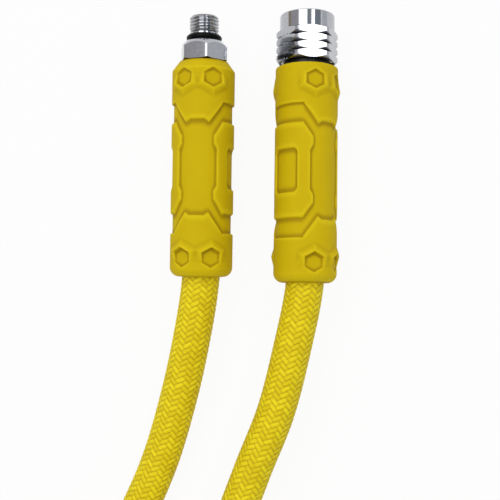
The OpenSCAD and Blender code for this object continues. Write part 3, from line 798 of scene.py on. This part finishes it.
def flat_limit(angles):
    """The most that the flats let the radius be at each angle."""
    step = 360 / FLATS
    off = (np.degrees(angles) + 90 - FLAT_TURN + step / 2) % step - step / 2
    return FLAT_R / np.cos(np.radians(off))


def slope_rings(limit, low_z, low_r, high_z, high_r):
    """The foot of a sloping side, where a flat cuts it, and its top."""
    cut = np.clip((limit - low_r) / (high_r - low_r), 0.03, 0.97)   # apart from both
    return [(np.minimum(low_r, limit), low_z),
            (np.minimum(low_r + (high_r - low_r) * cut, limit), low_z + (high_z - low_z) * cut),
            (np.minimum(high_r, limit), high_z)]


# %% Sleeve mesh
angles = sleeve_angles()
limit = flat_limit(angles)
rings = []
for rib in range(RIBS):
    middle = FIRST_RIB + rib * RIB_PITCH
    back = (SLEEVE_BACK if rib == 0 else middle - RIB_PITCH / 2, GROOVE_R)
    front = ((middle + NOSE_REACH, NOSE_R) if rib == RIBS - 1
             else (middle + RIB_PITCH / 2, GROOVE_R))
    rings += slope_rings(limit, *back, middle - RIB_LAND / 2, RIB_R)
    rings += slope_rings(limit, *front, middle + RIB_LAND / 2, RIB_R)[::-1]
rings += [(NOSE_R, SLEEVE_FRONT - 0.35), (NOSE_R - 0.12, SLEEVE_FRONT - 0.1),
          (NOSE_R - 0.4, SLEEVE_FRONT), (MOUTH_R, SLEEVE_FRONT), (MOUTH_R, MOUTH_BASE),
          (LOCK_R, LOCK_TOP), (LOCK_R, LOCK_BASE), (SPRING_R, LOCK_BASE), (SPRING_R, RING_TOP),
          (RING_R, RING_TOP), (RING_R, RING_BASE), (SPRING_R, RING_BASE),
          (SPRING_R, SLEEVE_BACK)]
sleeve = turned("coupler_sleeve", rings[::-1], angles, at_coupler, sharp=20)
# Painted shade: the grooves between the ribs, where no flat cuts them, are painted darker.
store(sleeve, "shaded_hollow", "POINT", hollows(
    rings[::-1], len(angles), lambda top: top < SHADE_END,
    lambda radius: np.where(radius < limit - 0.02,
                            np.clip((RIB_R - radius) / (RIB_R - GROOVE_R), 0, 1), 0)))
print("sleeve", len(sleeve.data.polygons), "faces")

# %% [markdown]
# ## Finish of the metal
#
# Chrome plate is a hard, blue-white mirror that gives back about half of the
# light. Over turned brass it keeps faint tool marks, and handling leaves
# smears that change its gloss and its tint a little. The thread's root and the
# grooves between the ribs are painted darker, as painted shade, and made
# duller. The coupler's body is given a dark metal colour as painted shade, for
# where it shows in the mouth and behind the sleeve. The inner brass is left
# bare, and the balls, springs and pin are bright steel.

# %% Chrome, brass and steel, and a dark metal for painted shade
# A dark grey painted into the hollows as painted shade, and the roughness that the hollows
# gain.
PAINTED_SHADE_GREY, HOLLOW_ROUGHNESS = "#3A3B3D", 0.3


def metal(name, colour, dark, roughness, smear, grain):
    """A metal with smears, tool marks and painted shade in its hollows. Smears
    add this much to its roughness, and grain is the strength of its tool marks."""
    finish, tree, shader = new_material(name, Metallic=1.0)
    place = add_node(tree, "ShaderNodeTexCoord")
    cloud = add_node(tree, "ShaderNodeTexNoise", values={"Scale": per_mm(0.8), "Detail": 4.0},
                     links={"Vector": place.outputs["Object"]})
    tint = add_node(tree, "ShaderNodeMix", {"data_type": "RGBA"},
                    {MIX_A: linear(dark), MIX_B: linear(colour)},
                    {MIX_FACTOR: cloud.outputs["Fac"]})
    shaded_hollow = add_node(tree, "ShaderNodeAttribute", {"attribute_name": "shaded_hollow"})
    # Painted shade: the hollows are tinted towards the dark grey.
    shaded_tint = add_node(tree, "ShaderNodeMix", {"data_type": "RGBA"}, {MIX_B: linear(PAINTED_SHADE_GREY)},
                     {MIX_FACTOR: shaded_hollow.outputs["Fac"], MIX_A: tint.outputs[MIX_RESULT]})
    gloss = add_node(tree, "ShaderNodeMapRange",
                     values={"To Min": roughness, "To Max": roughness + smear},
                     links={"Value": cloud.outputs["Fac"]})
    dull = add_node(tree, "ShaderNodeMath", {"operation": "MULTIPLY_ADD"},
                    {1: HOLLOW_ROUGHNESS},
                    {0: shaded_hollow.outputs["Fac"], 2: gloss.outputs["Result"]})
    tool = add_node(tree, "ShaderNodeTexNoise", values={"Scale": per_mm(0.3), "Detail": 2.0},
                    links={"Vector": place.outputs["Object"]})
    bump = add_node(tree, "ShaderNodeBump", values={"Strength": grain, "Distance": 0.01 * MM},
                    links={"Height": tool.outputs["Fac"]})
    tree.links.new(shaded_tint.outputs[MIX_RESULT], shader.inputs["Base Color"])
    tree.links.new(dull.outputs["Value"], shader.inputs["Roughness"])
    tree.links.new(bump.outputs["Normal"], shader.inputs["Normal"])
    return finish


chrome_finish = metal("chrome_plate_on_brass", "#BEC0C4", "#A6A8AD", 0.05, 0.07, 0.3)
brass_finish = metal("machined_brass", "#C9A961", "#B4924C", 0.22, 0.12, 0.25)
# Painted shade: the coupler's body shows only in the mouth and behind the sleeve, and its dark
# colour stands for the shade there.
dark_body_finish = metal("dark_metal_painted_shade", "#343436", "#28282A", 0.3, 0.15, 0.2)
steel_finish = metal("bright_spring_steel", "#B9BABD", "#A5A6AA", 0.2, 0.12, 0.2)
wear(threaded, chrome_finish, "hose_assembly", "chrome_plate", "thread_fitting")
wear(sleeve, chrome_finish, "sleeve", "chrome_plate", "locking_sleeve")
finish_nodes(chrome_finish, "thread_ferrule", "coupler_ferrule")
finish_nodes(dark_body_finish, "coupler_body")
finish_nodes(brass_finish, "coupler_stem", "valve_core_body")
finish_nodes(steel_finish, "sleeve_retaining_ring", "sleeve_spring", "valve_spring",
             "valve_pin", *[f"locking_ball_{n}" for n in range(1, 7)])

# %% [markdown]
# ## Finish of the seals
#
# O-rings are nitrile rubber, black and smooth from a polished mould, with a
# film of silicone grease that gives them soft, slightly uneven highlights.

# %% Nitrile rubber
seal_finish, tree, shader = new_material("greased_nitrile_rubber", IOR=1.5,
                                          Specular_IOR_Level=0.1)
place = add_node(tree, "ShaderNodeTexCoord")
film = add_node(tree, "ShaderNodeTexNoise", values={"Scale": per_mm(1.5), "Detail": 3.0},
                links={"Vector": place.outputs["Object"]})
black = add_node(tree, "ShaderNodeMix", {"data_type": "RGBA"},
                 {MIX_A: linear("#030303"), MIX_B: linear("#0A0A0B")},
                 {MIX_FACTOR: film.outputs["Fac"]})
gloss = add_node(tree, "ShaderNodeMapRange", values={"To Min": 0.3, "To Max": 0.6},
                 links={"Value": film.outputs["Fac"]})
tree.links.new(black.outputs[MIX_RESULT], shader.inputs["Base Color"])
tree.links.new(gloss.outputs["Result"], shader.inputs["Roughness"])
wear(port_seal, seal_finish, "hose_assembly", "black_rubber", "port_o_ring")
finish_nodes(seal_finish, "stem_o_ring", "plug_o_ring", "valve_seal")

# %% [markdown]
# ## Floor and light
#
# The hose lies on a white sweep of card under soft light. Rubber and yarn
# need only that, but chrome shows what stands round it. So long grey cards
# hang over the hose like the staves of a barrel, seen by nothing but shiny
# surfaces, and the two long lamps between them draw the bright streaks. The
# floor and the room are white to the eye and dimmer as a source of light.

# %% What the eye sees
def eye_rays(tree):
    """1 on a ray from the eye, straight or by way of a shine or a clear body."""
    path = add_node(tree, "ShaderNodeLightPath")
    shiny = add_node(tree, "ShaderNodeMath", {"operation": "MAXIMUM"},
                     links={0: path.outputs["Is Glossy Ray"],
                            1: path.outputs["Is Transmission Ray"]})
    seen = add_node(tree, "ShaderNodeMath", {"operation": "MAXIMUM"},
                    links={0: path.outputs["Is Camera Ray"], 1: shiny.outputs["Value"]})
    return seen.outputs["Value"]


# %% Floor
FLOOR_REACH = 4     # metres to each side
FLOOR_GLOW = 0.93   # the share that is white to the eye, and so shows no shadow
sides = [(-1, -1), (1, -1), (1, 1), (-1, 1)]
floor_mesh = bpy.data.meshes.new("floor")
floor_mesh.from_pydata([(FLOOR_REACH * x, FLOOR_REACH * y, 0) for x, y in sides],
                       [], [(0, 1, 2, 3)])
floor = bpy.data.objects.new("floor", floor_mesh)
bpy.context.scene.collection.objects.link(floor)

card, tree = empty_material("white_card")
matt = add_node(tree, "ShaderNodeBsdfDiffuse", values={"Color": linear("#EFEFEF")})
glow = add_node(tree, "ShaderNodeEmission", values={"Color": linear("#FFFFFF")})
part = add_node(tree, "ShaderNodeMath", {"operation": "MULTIPLY"}, {1: FLOOR_GLOW},
                {0: eye_rays(tree)})
blend = add_node(tree, "ShaderNodeMixShader",
                 links={0: part.outputs["Value"], 1: matt.outputs["BSDF"],
                        2: glow.outputs["Emission"]})
add_node(tree, "ShaderNodeOutputMaterial", links={"Surface": blend.outputs["Shader"]})
floor_mesh.materials.append(card)
print("floor", 2 * FLOOR_REACH, "m wide")

# %% World
DAY = 0.46   # light from all round

world = bpy.data.worlds.new("white_room")
bpy.context.scene.world = world
world.use_nodes = True
tree = world.node_tree
tree.nodes.clear()
around_light = add_node(tree, "ShaderNodeBackground",
                        values={"Color": linear("#FFFFFF"), "Strength": DAY})
backdrop = add_node(tree, "ShaderNodeBackground",
                    values={"Color": linear("#FFFFFF"), "Strength": 1.0})
blend = add_node(tree, "ShaderNodeMixShader",
                 links={0: eye_rays(tree), 1: around_light.outputs["Background"],
                        2: backdrop.outputs["Background"]})
add_node(tree, "ShaderNodeOutputWorld", links={"Surface": blend.outputs["Shader"]})
print("light from all round", DAY)

# %% Grey cards for the chrome
BARREL_R, BARREL_LEN = 1.6, 6.0   # metres
STAVE_STEPS = 8                   # faces across a card
CARDS = [(-99, -76, "#AEA08C"), (-76, -42, "#BCB9BC"), (-2.7, 13, "#9FA8AB"),
         (29, 55, "#969EA6"), (62, 88, "#DDDFE1")]   # degrees from overhead, towards +X


def stave(name, start, end, colour):
    """A long card bent round the hose's length, seen only in reflections."""
    turns = np.radians(np.linspace(start, end, STAVE_STEPS + 1))
    points = [(BARREL_R * math.sin(a), y, BARREL_R * math.cos(a))
              for y in (-BARREL_LEN / 2, BARREL_LEN / 2) for a in turns]
    faces = [(n, n + 1, n + len(turns) + 1, n + len(turns)) for n in range(STAVE_STEPS)]
    mesh = bpy.data.meshes.new(name)
    mesh.from_pydata(points, [], faces)
    finish, tree = empty_material(name)
    light = add_node(tree, "ShaderNodeEmission", values={"Color": linear(colour)})
    add_node(tree, "ShaderNodeOutputMaterial", links={"Surface": light.outputs["Emission"]})
    mesh.materials.append(finish)
    piece = bpy.data.objects.new(name, mesh)
    bpy.context.scene.collection.objects.link(piece)
    piece.visible_camera = piece.visible_diffuse = piece.visible_shadow = False
    piece.visible_transmission = piece.visible_volume_scatter = False


for number, (start, end, colour) in enumerate(CARDS):
    stave(f"card_{number}", start, end, colour)
print("cards", len(CARDS))

# %% Lamps
LAMP_Y = 0.9     # metres: the lamps hang more over the fittings than over the loop
LAMP_LEN = 2.4


def long_lamp(name, degrees, width, power):
    """A soft lamp over the hose's length, at an angle from overhead."""
    angle = math.radians(degrees)
    data = bpy.data.lights.new(name, "AREA")
    data.shape = "RECTANGLE"
    data.size, data.size_y = width, LAMP_LEN
    data.energy = power
    lamp = bpy.data.objects.new(name, data)
    lamp.location = (BARREL_R * math.sin(angle), LAMP_Y, BARREL_R * math.cos(angle))
    lamp.rotation_euler = (0, angle, 0)
    bpy.context.scene.collection.objects.link(lamp)
    print(name, power, "W")


long_lamp("wide_lamp", degrees=-21.5, width=0.98, power=15.8)
long_lamp("narrow_lamp", degrees=21.2, width=0.33, power=6.3)

# %% View transform
bpy.context.scene.view_settings.view_transform = "Standard"
